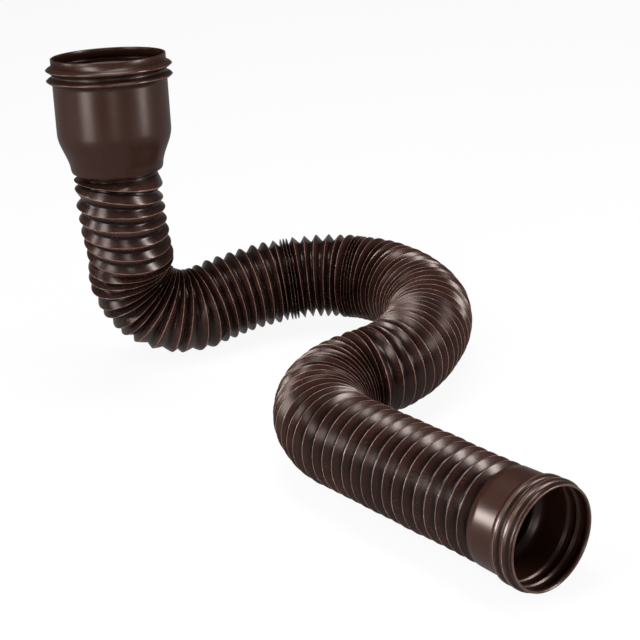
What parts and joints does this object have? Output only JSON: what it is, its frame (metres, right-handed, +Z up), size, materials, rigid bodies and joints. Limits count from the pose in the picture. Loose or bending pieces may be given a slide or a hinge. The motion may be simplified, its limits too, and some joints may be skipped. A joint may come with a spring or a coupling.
{
  "type": "downspout extension",
  "caption": "Flexible bellows pipe that takes a round downspout in its wide beaded socket, bends onto the ground in an S and carries the roof water away to a beaded outlet",
  "frame": {"origin": "middle of the outline on the ground that the pipe lies on", "axes": "+Z up, +X along the straight run and out of the outlet's mouth, +Y from that run towards the pipe's second turn"},
  "size_m": [0.6392, 0.3404, 0.3379],
  "materials": {
    "brown_plastic": "dark brown moulded plastic with a satin gloss"
  },
  "bodies": {
    "root": {"flexible_downspout_extension": "brown_plastic"}
  },
  "joints": []
}
